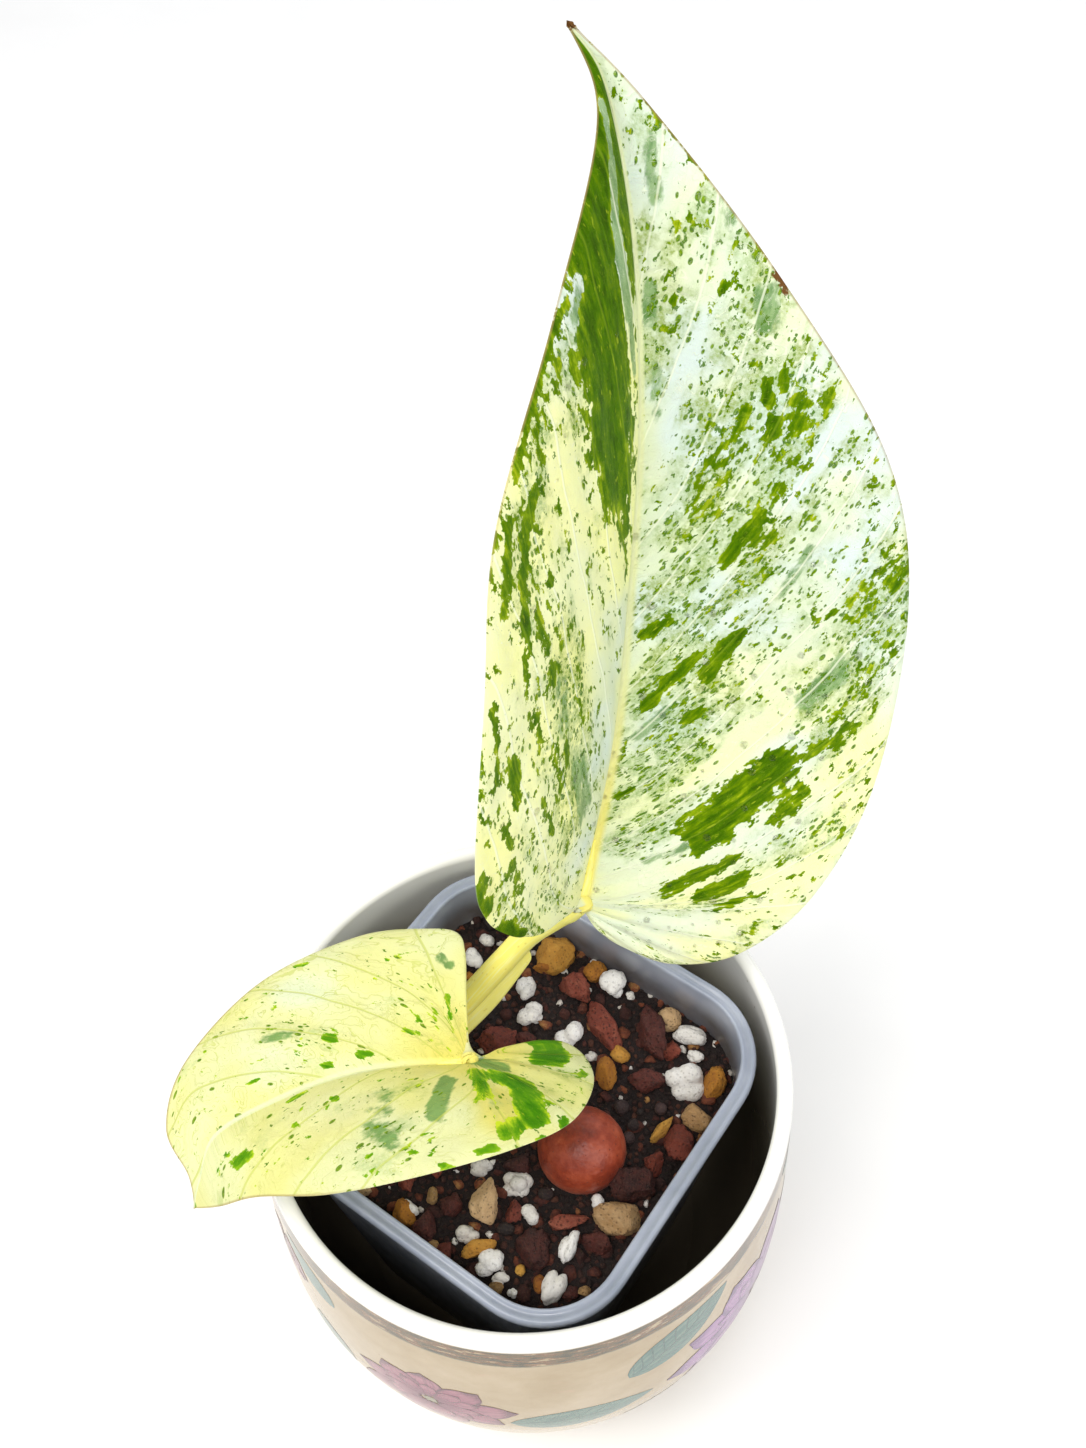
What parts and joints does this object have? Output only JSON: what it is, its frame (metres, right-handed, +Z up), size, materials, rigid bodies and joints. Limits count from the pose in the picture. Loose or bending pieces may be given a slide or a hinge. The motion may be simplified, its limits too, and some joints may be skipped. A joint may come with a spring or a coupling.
{
  "type": "potted white sport golden pothos",
  "caption": "Young variegated pothos with broad marbled leaves, rooted in gritty mix in a square nursery pot that stands loose in a round glazed pot with painted flowers.",
  "frame": {"origin": "centre of the flat foot of the round glazed pot", "axes": "+Z up out of the pot, -Y the front that the large leaf faces, +X to the right"},
  "size_m": [0.1295, 0.1376, 0.2395],
  "materials": {
    "glazed_stoneware": "gloss",
    "nursery_plastic": "satin",
    "gritty_mix": "matte",
    "fired_clay": "matte",
    "stem_skin": "satin",
    "petiole_skin": "satin",
    "marbled_leaf": "gloss",
    "cream_leaf": "gloss"
  },
  "bodies": {
    "root": {"outer_pot": "glazed_stoneware", "nursery_pot": "nursery_plastic", "potting_mix": "gritty_mix", "clay_ball": "fired_clay", "stem": "stem_skin", "petiole_large": "petiole_skin", "petiole_small": "petiole_skin", "leaf_large": "marbled_leaf", "leaf_small": "cream_leaf"}
  },
  "joints": []
}
